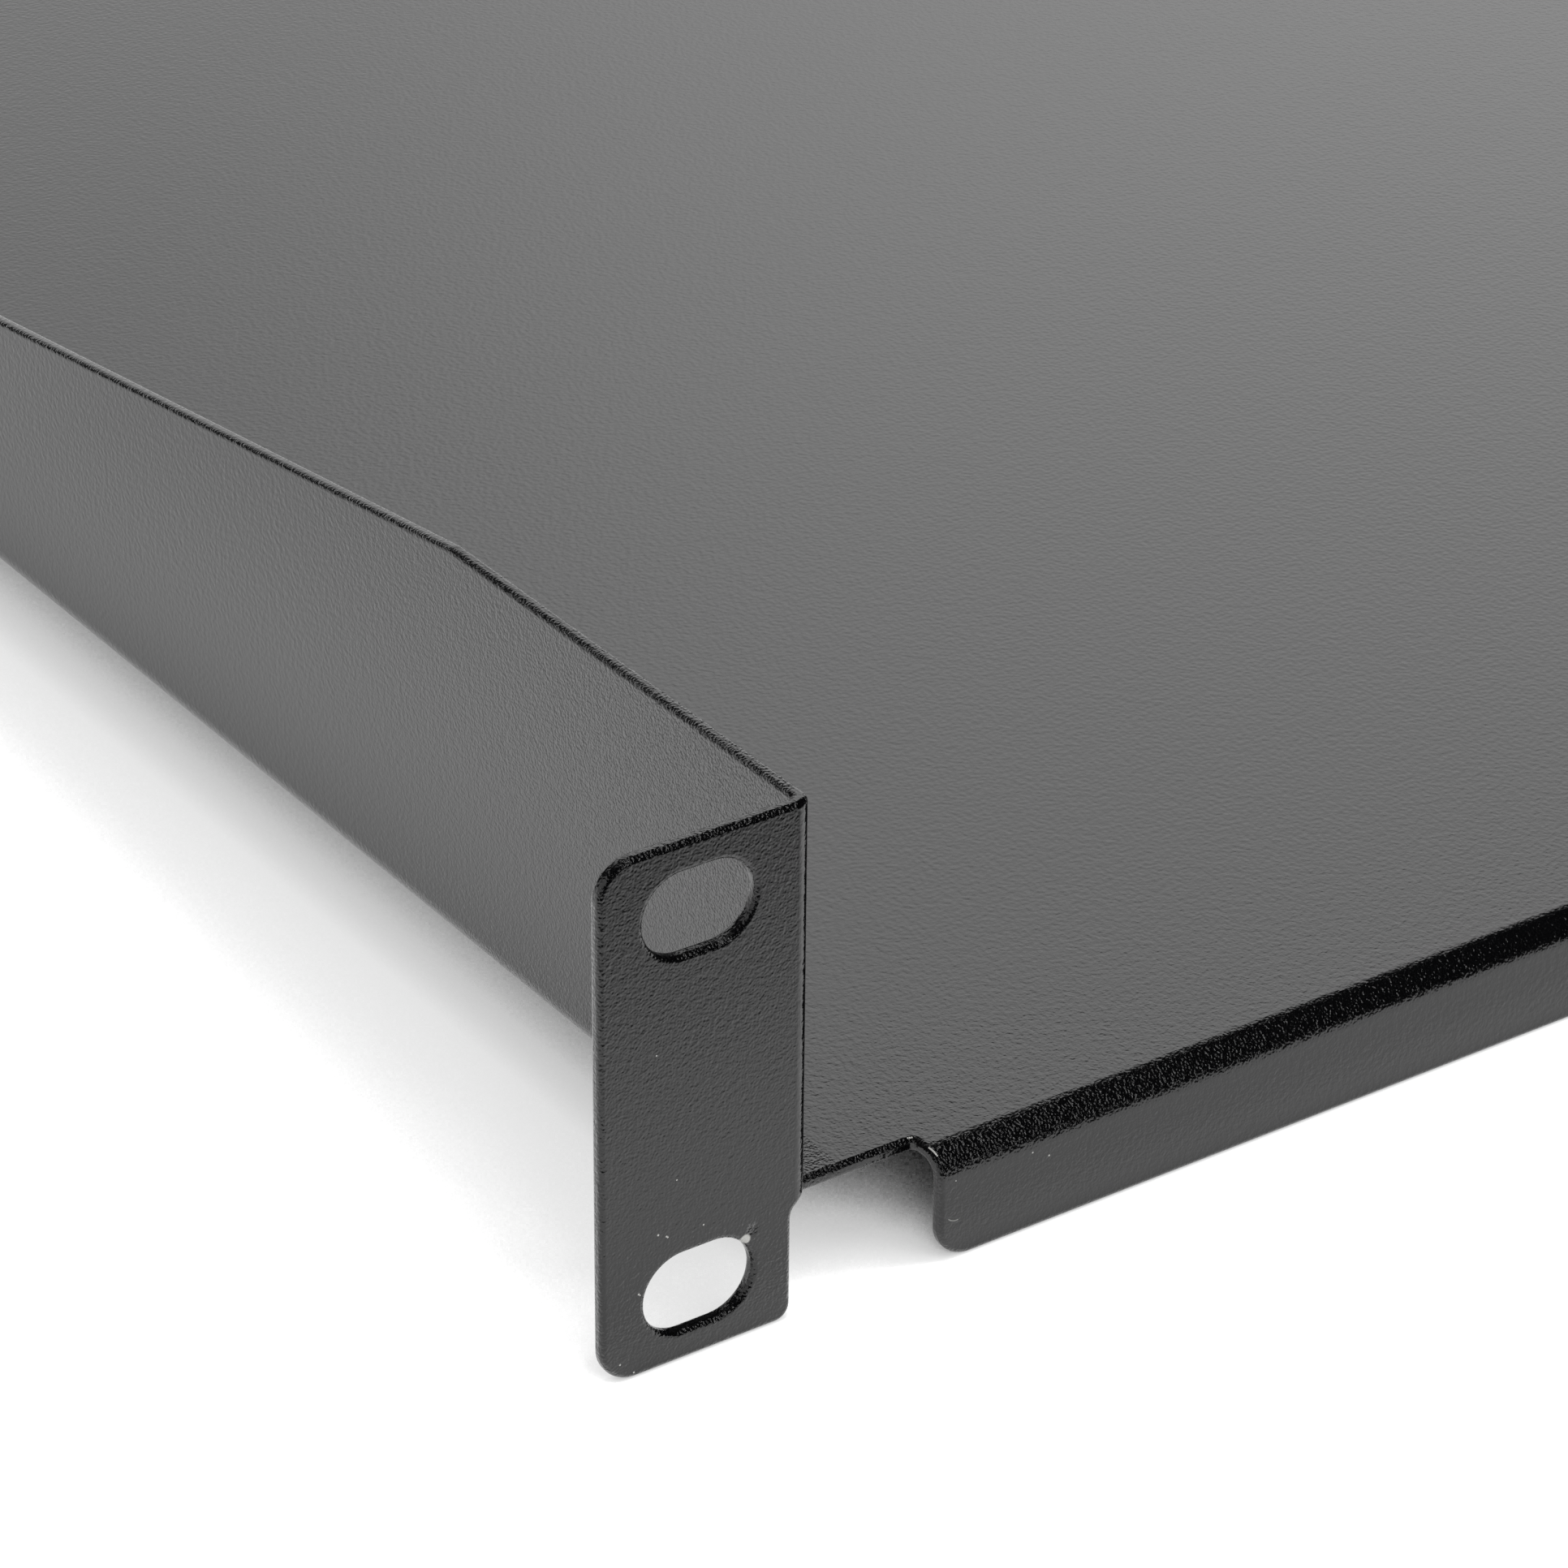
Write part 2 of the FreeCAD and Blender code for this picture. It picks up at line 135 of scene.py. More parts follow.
# Pale marks in the coat, and painted highlights on a few of its edges, as centres and radii in millimetres
MARKS_AND_PAINTED_HIGHLIGHTS = (
    # A nick beside the lower slot
    (-228.55, -1.1, -13.28, 0.5),
    # Dust on the ear
    (-236.12, -1.2, -10.06, 0.1),
    (-235.4, -1.2, -10.45, 0.09),
    (-235.3, -1.2, -10.55, 0.08),
    (-232.21, -1.2, -10.62, 0.08),
    (-237.81, -1.2, -14.54, 0.09),
    (-237.7, -1.2, -14.66, 0.07),
    (-236.22, -1.2, 5.12, 0.07),
    (-234.52, -1.2, -5.93, 0.07),
    (-239.45, -1.2, -20.07, 0.09),
    (-238.26, -1.2, -21.19, 0.09),
    # Dust on the lip
    (-202.85, -1.7, -14.85, 0.08),
    (-201.29, -1.7, -15.67, 0.09),
    # Painted highlights: glints on the rounded edge at the corner of the notch
    (-211.75, 2.05, -12.36, 0.08),
    (-211.6, 2.0, -12.36, 0.09),
    (-211.45, 1.95, -12.36, 0.08),
    # Painted highlights: glints along the rounded edge at the end of the lip's fold
    (-211.16, 0.16, -12.41, 0.08),
    (-211.14, 0.04, -12.42, 0.09),
    (-211.12, -0.08, -12.45, 0.09),
    (-211.1, -0.2, -12.48, 0.09),
    (-211.08, -0.32, -12.52, 0.09),
    (-211.06, -0.44, -12.57, 0.09),
    (-211.04, -0.56, -12.63, 0.09),
    (-211.02, -0.68, -12.7, 0.08),
    # A painted highlight: a small glint where the lip starts
    (-209.97, -1.7, -14.76, 0.06),
)
# Share of a mark's radius over which it is whole
MARK_CORE = 0.7
# A crescent scratch on the lip, in millimetres: the part of a ring about a centre that is near to the
# scratch's middle, and how much of the marks' colour it takes
SCRATCH_CENTRE = (-209.82, -1.7, -17.31)
SCRATCH_RADIUS = 1.0
SCRATCH_WIDTH = 0.045
SCRATCH_MIDDLE = (-210.17, -1.7, -18.25)
SCRATCH_REACH = 0.5
SCRATCH_SHARE = 0.4

# The sweep: how far the shelf's shadow reaches over it, in metres, the side that most of its light comes
# from, and how often each point looks for open sky
SHADOW_REACH = 1.0
KEY_SIDE = (0.09, -0.15, 0.985)
SKY_SAMPLES = 16
# How bright the sweep is where the shelf leaves it a share of the open sky, as (share, light), and how much
# brighter the camera sees it
SWEEP_LIGHT = ((0.0, 0.0), (0.09, 0.0), (0.17, 0.62), (0.27, 0.64), (0.45, 0.9), (0.56, 0.98), (0.66, 1.7))
SWEEP_SEEN = 1.5
# The same for reflections, which find it dimmer ahead of the shelf, as (place along Y, light)
SWEEP_MIRRORED = 1.88
SWEEP_ALONG = (
    (-130 * MM, 0.0),
    (-56 * MM, 0.57),
    (-33 * MM, 0.8),
    (-17 * MM, 0.83),
    (-8 * MM, 0.72),
    (4 * MM, 1.0),
    (20 * MM, 0.98),
    (160 * MM, 0.66),
)

# The lights that only reflections see. A direction is an arrow of length 1. Each pair says where a light
# starts and where it is full, as the arrow's X, Y or Z, or as its product with the arrow towards the light.
# The ceiling's pair says where the lights under it start to fade and where they end
CEILING = (0.62, 0.79)
BACKDROP_SIDE = (0.9, 0.43, 0.0)
BACKDROP_SPREAD = (0.0, 0.45)
BACKDROP_REARWARD = (0.44, 0.6)
BACKDROP_LIGHT = 1.2
FRONT_LIGHT = 0.02
SOFTBOX_SIDE = (0.61, 0.61, 0.5)
SOFTBOX_SPREAD = (0.955, 0.985)
SOFTBOX_LIGHT = 0.45
SIDE_SPREAD = (-0.56, -0.72)
SIDE_LIGHT = 1.0
OVERHEAD_SPREAD = (0.93, 0.98)
OVERHEAD_LIGHT = 0.5
# An upright strip light in front: its place across, its fall from there, and how far back and down it reaches
STRIP_PLACE = 0.24
STRIP_SPREAD = (0.05, 0.02)
STRIP_REARWARD = (0.4, 0.3)
STRIP_FOOT = (0.1, 0.2)
STRIP_LIGHT = 6.0


def linear(hex_colour):
    """Turn an sRGB colour written as six hex digits into linear red, green and blue."""
    parts = (int(hex_colour[start : start + 2], 16) / 255 for start in (0, 2, 4))
    return tuple(part / 12.92 if part <= 0.04045 else ((part + 0.055) / 1.055) ** 2.4 for part in parts)


def length_setting(name, description, default):
    """Give a property for one length of the shelf, in metres."""
    return FloatProperty(
        name=name, description=description, default=default, min=0.0, unit="LENGTH", precision=5
    )


def colour_setting(name, description, hex_colour):
    """Give a property for one colour."""
    return FloatVectorProperty(
        name=name,
        description=description,
        default=linear(hex_colour),
        min=0.0,
        max=1.0,
        size=3,
        subtype="COLOR",
    )


class ShelfSizes(PropertyGroup):
    """Lengths that the blank and its folds are worked out from."""

    gauge: length_setting("Gauge", "Thickness of the coated sheet", 1.2 * MM)
    fold_radius: length_setting("Fold radius", "Inside radius of the folds round the tray", 1.1 * MM)
    ear_fold_radius: length_setting("Ear fold radius", "Inside radius of the fold from wall to ear", 0.3 * MM)
    edge_radius: length_setting("Edge radius", "Rounding that the coat gives every cut edge", 0.45 * MM)
    slot_across: length_setting("Slot spacing across", "Rack slots, left to right", SLOT_ACROSS)
    slot_up: length_setting("Slot spacing up", "Rack slots, lower to upper", SLOT_UP)
    slot_length: length_setting("Slot length", "Rack slot, end to end", RACK_SLOTS["slot_length_mm"] * MM)
    slot_width: length_setting("Slot width", "Rack slot, across", 2 * RACK_SLOTS["hole_r_mm"] * MM)
    slot_coat: length_setting("Slot coat", "Coat built up on the edge of a slot", 0.2 * MM)
    slot_to_wall: length_setting("Slot to wall", "Slot centre to the wall's outer face", 8.55 * MM)
    lip_height: length_setting("Lip height", "Top of the tray to the foot of lips and ears", 9.4 * MM)
    lip_lead: length_setting("Lip lead", "Front of the lip ahead of the ears", 0.5 * MM)
    lip_gap: length_setting("Lip gap", "Inner face of a wall to the end of a lip", 11.4 * MM)
    notch_setback: length_setting("Notch setback", "Cut edge of the tray behind the ears", 3.0 * MM)
    tail_clearance: length_setting("Tail clearance", "Edge of the ear's tail beyond the wall", 0.45 * MM)
    relief_gap: length_setting("Relief gap", "Top of the tray's fold to the top of the relief", 0.05 * MM)
    relief_drop: length_setting("Relief drop", "Fall of the relief from the tray to the tail", 0.6 * MM)
    relief_radius: length_setting("Relief radius", "Curve from the relief into the ear's tail", 1.7 * MM)
    level_length: length_setting("Level length", "Front of the ears to where the wall tapers", 47.0 * MM)
    rear_wall_rise: length_setting("Rear wall rise", "Top of the wall above the tray at the rear", 7.8 * MM)
    ear_corner: length_setting("Ear corner", "Outer corners of each ear", 3.0 * MM)
    tail_corner: length_setting("Tail corner", "Inner lower corner of each ear", 1.3 * MM)
    lip_corner: length_setting("Lip corner", "Lower corners of both lips", 3.0 * MM)
    rear_corner: length_setting("Rear corner", "Upper rear corner of each wall", 3.0 * MM)
    knee_radius: length_setting("Knee radius", "Rounding where the wall starts to taper", 2.0 * MM)
    notch_radius: length_setting("Notch radius", "Inner corners of the notches", 0.4 * MM)
    fold_steps: IntProperty(
        name="Fold steps", description="Strips that make up a fold", default=16, min=4, max=64
    )


class ShelfFinish(PropertyGroup):
    """Colours and grain of the coat, and the floor that the shelf stands on."""

    coat: colour_setting("Coat", "Black powder coat", "060607")
    # This pale colour also paints highlights on a few edges: the end of the lip's fold, the notch corner and
    # where the lip starts
    marks_and_highlights: colour_setting("Marks", "Nicks, scratches and dust in the coat", "bcbcb8")
    floor: colour_setting("Floor", "Studio floor", "f4f4f4")
    grain_size: length_setting("Grain size", "Width of one melted grain of the coat", 0.21 * MM)
    grain_depth: length_setting("Grain depth", "Depth of the hollows between grains", 0.05 * MM)
    wrinkle_size: length_setting("Wrinkle size", "Width of the coat's longer ripples", 0.45 * MM)
    wrinkle_depth: length_setting("Wrinkle depth", "Height of the coat's longer ripples", 0.035 * MM)
    roughness: FloatProperty(
        name="Roughness", description="Roughness of the coat", default=0.15, min=0.0, max=1.0
    )


def shelf_places(sizes):
    """Work out the places of the folded shelf and the flat places of its blank from the sizes, in metres.

    Flat places are measured on the middle of the sheet, so a fold takes a quarter turn of its middle radius.
    """
    middle = sizes.gauge / 2
    place = SimpleNamespace(gauge=sizes.gauge, inner_radius=sizes.fold_radius)
    place.outer_radius = sizes.fold_radius + sizes.gauge
    place.ear_radius = sizes.ear_fold_radius + sizes.gauge
    place.fold_run = QUARTER_TURN * (sizes.fold_radius + middle)
    place.ear_run = QUARTER_TURN * (sizes.ear_fold_radius + middle)

    place.foot, place.head, place.tip = LOW.z, HIGH.z, HIGH.x
    place.tray_top = place.foot + sizes.lip_height
    place.wall_inner = sizes.slot_across / 2 - sizes.slot_to_wall - sizes.gauge
    ear_front = LOW.y + sizes.lip_lead
    place.tray_front = ear_front + sizes.notch_setback
    place.tray_rear = HIGH.y - sizes.lip_lead - sizes.notch_setback
    place.lip_end = place.wall_inner - sizes.lip_gap

    place.side_fold = place.wall_inner - sizes.fold_radius
    place.ear_fold = ear_front + place.ear_radius
    place.front_fold = LOW.y + place.outer_radius
    place.rear_fold = HIGH.y - place.outer_radius
    place.ear_side = place.wall_inner + place.ear_radius

    lip_drop = sizes.lip_height - place.outer_radius
    place.flat_front = place.front_fold - place.fold_run - lip_drop
    place.flat_rear = place.rear_fold + place.fold_run + lip_drop
    place.taper_start = ear_front + sizes.level_length
    place.rear_top = place.tray_top + sizes.rear_wall_rise
    place.relief_top = place.tray_top + sizes.fold_radius + sizes.relief_gap
    place.tail_side = place.wall_inner + sizes.gauge + sizes.tail_clearance
    return place


def flat_height(place, height):
    """Give the flat place across the blank of a height on the wall or the ear."""
    return place.side_fold + place.fold_run + height - (place.tray_top + place.inner_radius)


def flat_ear(place, across):
    """Give the flat place along the blank of a place across the rack on the ear."""
    return place.ear_fold - place.ear_run - (across - place.ear_side)


def fold_blank(place, across, along, depth):
    """Carry points of the flat blank to the folded shelf, with the sheet's own axes there.

    Depth goes into the sheet from the face that ends up as tray top, inside of the walls and front of the
    ears and lips. Each fold is a quarter of a circle: the flat run up to a point over the fold's whole run
    gives the angle, and the fold's radius at that depth carries the point round the fold's centre. Metal past
    a fold goes on straight. The walls fold up about lines along the shelf, the ears fold out about upright
    lines, where the blank is already wall, and the lips fold down about lines across the shelf.
    The coat's build is the root of the sine of twice the angle, so it is 0 at the edges of a fold and 1 in
    its middle. The ears and their folds have builds of their own.
    Returns places, the directions of across and along, the direction out of the face at depth zero, and the
    coat's build.
    """
    side = np.where(across < 0, -1.0, 1.0)
    reach = np.abs(across)
    in_ear = (reach > place.lip_end + place.gauge) & (along < place.ear_fold)
    in_lip = reach < place.lip_end + place.gauge

    past = reach - place.side_fold
    turn = np.where(in_ear, QUARTER_TURN, np.clip(past / place.fold_run, 0, 1) * QUARTER_TURN)
    beyond = past - place.fold_run
    rise = np.where(in_ear, beyond, np.maximum(beyond, 0))
    radius = place.inner_radius + depth
    x = np.where(in_ear, place.side_fold, np.minimum(reach, place.side_fold)) + radius * np.sin(turn)
    z = place.tray_top + place.inner_radius - radius * np.cos(turn) + rise

    ahead_of_ear = np.where(in_ear, place.ear_fold - along, 0)
    swing = np.clip(ahead_of_ear / place.ear_run, 0, 1) * QUARTER_TURN
    radius = place.ear_radius - depth
    x += radius - radius * np.cos(swing) + np.maximum(ahead_of_ear - place.ear_run, 0)
    y = np.where(in_ear, place.ear_fold, along) - np.where(in_ear, radius * np.sin(swing), 0)

    ahead = np.where(in_lip, np.maximum(place.front_fold - along, along - place.rear_fold), 0)
    end = np.where(along < place.front_fold, -1.0, 1.0)
    drop = np.clip(ahead / place.fold_run, 0, 1) * QUARTER_TURN
    radius = place.outer_radius - depth
    lip_y = np.clip(along, place.front_fold, place.rear_fold) + end * radius * np.sin(drop)
    y = np.where(in_lip & (ahead > 0), lip_y, y)
    z -= radius - radius * np.cos(drop) + np.maximum(ahead - place.fold_run, 0)

    bent = np.maximum(np.where(in_ear, 0, turn), drop)
    build = np.sqrt(np.sin(2 * bent).clip(0))
    on_ear_fold = (swing > FOLD_EDGE) & (swing < QUARTER_TURN - FOLD_EDGE)
    build = np.where(on_ear_fold, EAR_FOLD_BUILD, np.where(ahead_of_ear > 0, EAR_BUILD, build))

    zero = np.zeros_like(x)
    places = np.stack([side * x, y, z], axis=-1)
    to_across = np.stack([np.cos(turn), zero, side * np.sin(turn)], axis=-1)
    ear_along = np.stack([-side * np.sin(swing), np.cos(swing), zero], axis=-1)
    lip_along = np.stack([zero, np.cos(drop), -end * np.sin(drop)], axis=-1)
    to_along = np.where(in_ear[..., None], ear_along, lip_along)
    return places, to_across, to_along, np.cross(to_across, to_along), build


def blank_folds(place, steps):
    """List the lines that divide each fold into strips: (axis, flat places, span along the line).

    Axis 0 is a line at those places across the blank, and axis 1 a line at those places along it.
    """
    share = np.linspace(0, 1, steps + 1)
    tray = (place.tray_front - SAME_PLACE, place.tray_rear + SAME_PLACE)
    past_lip = place.lip_end + place.gauge
    folds = []
    for side in (-1, 1):
        folds.append((0, side * (place.side_fold + place.fold_run * share), tray))
        ear_span = sorted((side * past_lip, side * 2 * past_lip))
        folds.append((1, place.ear_fold - place.ear_run * share, ear_span))
    folds.append((1, place.front_fold - place.fold_run * share, (-past_lip, past_lip)))
    folds.append((1, place.rear_fold + place.fold_run * share, (-past_lip, past_lip)))
    return folds


def arc_crossings(centre, radius, first, last, folds):
    """Give the angles at which an arc crosses the fold lines."""
    found = []
    for axis, levels, span in folds:
        share = (levels - centre[axis]) / radius
        base = np.arccos(np.clip(share, -1, 1)) if axis == 0 else np.arcsin(np.clip(share, -1, 1))
        twin = -base if axis == 0 else math.pi - base
        angles = np.concatenate([base, twin])
        crosses = np.tile(np.abs(share) < 1, 2)
        if last > first:
            angles = first + (angles - first) % (2 * math.pi)
        else:
            angles = first - (first - angles) % (2 * math.pi)
        other = centre[1 - axis] + radius * (np.sin(angles) if axis == 0 else np.cos(angles))
        crosses &= (angles > min(first, last)) & (angles < max(first, last))
        found.append(angles[crosses & (other > span[0]) & (other < span[1])])
    return np.concatenate(found)


def line_crossings(start, end, moved, folds):
    """Give the points of a straight stretch that cross the fold lines once they are moved, in order."""
    shares = []
    for axis, levels, span in folds:
        run = end[axis] - start[axis]
        if abs(run) < SAME_PLACE:
            continue
        share = (levels - start[axis] - moved[axis]) / run
        other = start[1 - axis] + moved[1 - axis] + share * (end[1 - axis] - start[1 - axis])
        shares.append(share[(share > 0) & (share < 1) & (other > span[0]) & (other < span[1])])
    share = np.sort(np.concatenate(shares)) if shares else np.zeros(0)
    return start + share[:, None] * (end - start)


def rounded_loop(corners, folds, inset):
    """Give the points of a closed outline with rounded corners, and the flat directions out of the metal.

    Corners are (across, along, radius) with the metal on the left. A corner's arc touches both of its sides
    at the radius times the tangent of half the turn. Points lie closer on small arcs, and also wherever the
    outline, moved into the metal by the inset, meets a fold line.
    """
    corners = np.array(corners, float)
    points, outward = [], []
    arcs = []
    for before, here, after in zip(np.roll(corners, 1, 0), corners, np.roll(corners, -1, 0)):
        into = (here - before)[:2] / np.linalg.norm((here - before)[:2])
        out = (after - here)[:2] / np.linalg.norm((after - here)[:2])
        turn = math.atan2(into[0] * out[1] - into[1] * out[0], into @ out)
        bend = math.copysign(1, turn)
        start = here[:2] - into * here[2] * math.tan(abs(turn) / 2)
        centre = start + bend * here[2] * np.array([-into[1], into[0]])
        first = math.atan2(start[1] - centre[1], start[0] - centre[0])
        steps = max(3, math.ceil(abs(turn) / ARC_STEP))
        angles = first + turn * np.linspace(0, 1, steps + 1)
        crossings = arc_crossings(centre, here[2] - bend * inset, first, first + turn, folds)
        angles = np.sort(np.concatenate([angles, crossings]))[:: int(bend)]
        rays = np.stack([np.cos(angles), np.sin(angles)], axis=-1)
        arcs.append((centre + here[2] * rays, bend * rays))
    for (arc, rays), (following, _) in zip(arcs, arcs[1:] + arcs[:1]):
        crossings = line_crossings(arc[-1], following[0], -inset * rays[-1], folds)
        points += [arc, crossings]
        outward += [rays, np.repeat(rays[-1:], len(crossings), axis=0)]
    points, outward = np.concatenate(points), np.concatenate(outward)
    moved = np.linalg.norm(points - np.roll(points, -1, axis=0), axis=1) > SAME_PLACE
    return points[moved], outward[moved]


def blank_corners(sizes, place):
    """List the corners of the blank's outline, anticlockwise, as (across, along, radius)."""
    foot, head = flat_height(place, place.foot), flat_height(place, place.head)
    tip, tail = flat_ear(place, place.tip), flat_ear(place, place.tail_side)
    relief = flat_height(place, place.relief_top)
    right = [
        (place.lip_end, place.flat_front, sizes.lip_corner),
        (place.lip_end, place.tray_front, sizes.notch_radius),
        (relief, place.tray_front, sizes.notch_radius),
        (relief - sizes.relief_drop, tail, sizes.relief_radius),
        (foot, tail, sizes.tail_corner),
        (foot, tip, sizes.ear_corner),
        (head, tip, sizes.ear_corner),
        (head, place.taper_start, sizes.knee_radius),
        (flat_height(place, place.rear_top), place.tray_rear, sizes.rear_corner),
        (place.lip_end, place.tray_rear, sizes.notch_radius),
        (place.lip_end, place.flat_rear, sizes.lip_corner),
    ]
    return right + [(-across, along, radius) for across, along, radius in reversed(right)]


def slot_corners(sizes, place, side, level):
    """List the corners of one rack slot, clockwise, so that the metal is on the left."""
    centre = flat_height(place, level * sizes.slot_up / 2), flat_ear(place, sizes.slot_across / 2)
    across, along = sizes.slot_width / 2 - sizes.slot_coat, sizes.slot_length / 2 - sizes.slot_coat
    signs = ((-1, -1), (-1, 1), (1, 1), (1, -1))
    return [(side * centre[0] + a * across, centre[1] + b * along, across) for a, b in signs]


def inside(points, starts, ends):
    """Tell which flat points lie in the metal.

    From there, a ray to the right crosses the outlines an odd number of times.
    """
    x, y = points[:, 0, None], points[:, 1, None]
    spans = (starts[:, 1] > y) != (ends[:, 1] > y)
    rise = np.where(starts[:, 1] == ends[:, 1], 1.0, ends[:, 1] - starts[:, 1])
    crossing = starts[:, 0] + (y - starts[:, 1]) / rise * (ends[:, 0] - starts[:, 0])
    return (spans & (crossing > x)).sum(axis=1) % 2 == 1


def fill_face(flat, loops, folds):
    """Divide the flat face inside the loops into triangles that no outline or fold line cuts across."""
    edges = [(here, after) for loop in loops for here, after in zip(loop, np.roll(loop, -1))]
    starts, ends = (flat[[edge[end] for edge in edges]] for end in (0, 1))
    for axis, levels, span in folds:
        other = flat[:, 1 - axis]
        for level in levels:
            on_line = (np.abs(flat[:, axis] - level) < SAME_PLACE) & (other > span[0]) & (other < span[1])
            pair = np.flatnonzero(on_line)
            if len(pair) != 2:
                raise RuntimeError(f"a fold line meets the outline {len(pair)} times")
            edges.append(tuple(pair))
    flat_mm = [Vector(point) for point in flat / MM]
    pairs = [tuple(map(int, edge)) for edge in edges]
    _, _, faces, sources, _, _ = delaunay_2d_cdt(flat_mm, pairs, [], 0, SAME_CORNER_MM)
    if len(sources) != len(flat) or any(len(source) != 1 for source in sources):
        raise RuntimeError("the face took or lost a point")
    order = np.array([source[0] for source in sources])
    triangles = order[np.array(faces)]
    return triangles[inside(flat[triangles].mean(axis=1), starts, ends)]


def edge_profile(sizes):
    """Give the cut edge's section from face to face: inset from the outline, depth, and angle from the face.

    It is a quarter circle, the straight cut and another quarter circle. At the angle a, the inset is the
    radius times (1 - sin a), and the depth is the radius times (1 - cos a), counted from the nearer face.
    """
    upper = np.linspace(0, QUARTER_TURN, EDGE_STEPS + 1)
    angle = np.concatenate([upper, upper + QUARTER_TURN])
    inset = sizes.edge_radius * (1 - np.sin(angle))
    depth = sizes.edge_radius * (1 - np.abs(np.cos(angle)))
    depth[EDGE_STEPS + 1 :] = sizes.gauge - depth[EDGE_STEPS + 1 :]
    return inset, depth, angle


def folded_sheet(sizes):
    """Give the vertices, normals and faces of the whole shelf, and the coat's build at each vertex.

    Every outline is repeated once for each point of the edge's section, moved into the metal by the inset and
    down by the depth. Quads join the repeats, triangles fill both faces, and everything is folded at once.
    On the section the coat's build rises by the sine of twice the angle, so it is full in the middle of each
    rounding and as on the face along the straight cut.
    """
    place = shelf_places(sizes)
    folds = blank_folds(place, sizes.fold_steps)
    outlines = [blank_corners(sizes, place)]
    outlines += [slot_corners(sizes, place, side, level) for side in (-1, 1) for level in (-1, 1)]
    loops = [rounded_loop(corners, folds, sizes.edge_radius) for corners in outlines]
    outline, outward = (np.concatenate(parts) for parts in zip(*loops))
    count = len(outline)
    starts = np.cumsum([0] + [len(points) for points, _ in loops])
    members = [np.arange(first, last) for first, last in zip(starts, starts[1:])]

    inset, depth, angle = edge_profile(sizes)
    flat = outline[None] - inset[:, None, None] * outward[None]
    depths = np.repeat(depth[:, None], count, axis=1)
    places, to_across, to_along, out_of_face, build = fold_blank(place, flat[..., 0], flat[..., 1], depths)
    out_of_edge = outward[:, 0, None] * to_across + outward[:, 1, None] * to_along
    normals = np.cos(angle)[:, None, None] * out_of_face + np.sin(angle)[:, None, None] * out_of_edge

    upper = fill_face(flat[0], members, folds)
    last = (len(angle) - 1) * count
    faces = [upper, upper[:, ::-1] + last]
    following = np.concatenate([np.roll(loop, -1) for loop in members])
    here = np.arange(count)
    rings = np.arange(len(angle) - 1)[:, None] * count
    below = rings + count
    quads = np.stack([rings + here, below + here, below + following, rings + following], axis=-1)
    faces.append(quads.reshape(-1, 4))
    build = build + (1 - build) * np.abs(np.sin(2 * angle))[:, None]
    return places.reshape(-1, 3), normals.reshape(-1, 3), faces, build.ravel()


def add_mesh(name, vertices, faces, normals=None):
    """Make an object at the origin from arrays, smooth where it has normals of its own."""
    mesh = bpy.data.meshes.new(name)
    mesh.from_pydata(vertices, [], [face for group in faces for face in group.tolist()])
    if normals is not None:
        mesh.shade_smooth()
        mesh.normals_split_custom_set_from_vertices(normals)
    mesh.validate()
    thing = bpy.data.objects.new(name, mesh)
    bpy.context.scene.collection.objects.link(thing)
    return thing


def node(tree, kind, inputs=None, **fields):
    """Add a shader node, set its fields, and link or set its inputs.

    Inputs map an input's name or number to the output socket that feeds it, or to its value.
    """
    made = tree.nodes.new(kind)
    for key, value in fields.items():
        setattr(made, key, value)
    for key, source in (inputs or {}).items():
        if isinstance(source, bpy.types.NodeSocket):
            tree.links.new(source, made.inputs[key])
        else:
            made.inputs[key].default_value = source
    return made


def set_stops(ramp, stops):
    """Give a colour ramp its grey stops, as (place, grey) in rising order."""
    elements = ramp.color_ramp.elements
    while len(elements) < len(stops):
        elements.new(1.0)
    for element, (place, grey) in zip(elements, stops):
        element.position = place
        element.color = (grey, grey, grey, 1.0)


def coat_marks_and_highlights(tree, places):
    """Give a socket that is 1 on the pale nicks, scratches and dust in the coat and on the painted highlights
    of a few edges, and 0 elsewhere.
    """
    from_centre, from_middle = (
        node(tree, "ShaderNodeVectorMath", {0: places, 1: Vector(spot) * MM}, operation="DISTANCE")
        for spot in (SCRATCH_CENTRE, SCRATCH_MIDDLE)
    )
    ring = node(
        tree,
        "ShaderNodeMath",
        {0: from_centre.outputs["Value"], 1: SCRATCH_RADIUS * MM, 2: SCRATCH_WIDTH * MM},
        operation="COMPARE",
    )
    near = node(
        tree,
        "ShaderNodeMath",
        {0: from_middle.outputs["Value"], 1: SCRATCH_REACH * MM},
        operation="LESS_THAN",
    )
    scratch = node(tree, "ShaderNodeMath", {0: ring.outputs[0], 1: near.outputs[0]}, operation="MULTIPLY")
    marked_or_highlit = node(tree, "ShaderNodeMath", {0: scratch.outputs[0], 1: SCRATCH_SHARE}, operation="MULTIPLY")
    # Round spots: nicks and dust, and painted highlights on a few edges
    for *centre, radius in MARKS_AND_PAINTED_HIGHLIGHTS:
        gap = node(tree, "ShaderNodeVectorMath", {0: places, 1: Vector(centre) * MM}, operation="DISTANCE")
        spot = node(
            tree,
            "ShaderNodeMapRange",
            {"Value": gap.outputs["Value"], "From Min": radius * MM, "From Max": MARK_CORE * radius * MM},
        )
        marked_or_highlit = node(tree, "ShaderNodeMath", {0: marked_or_highlit.outputs[0], 1: spot.outputs[0]}, operation="MAXIMUM")
    return marked_or_highlit.outputs[0]


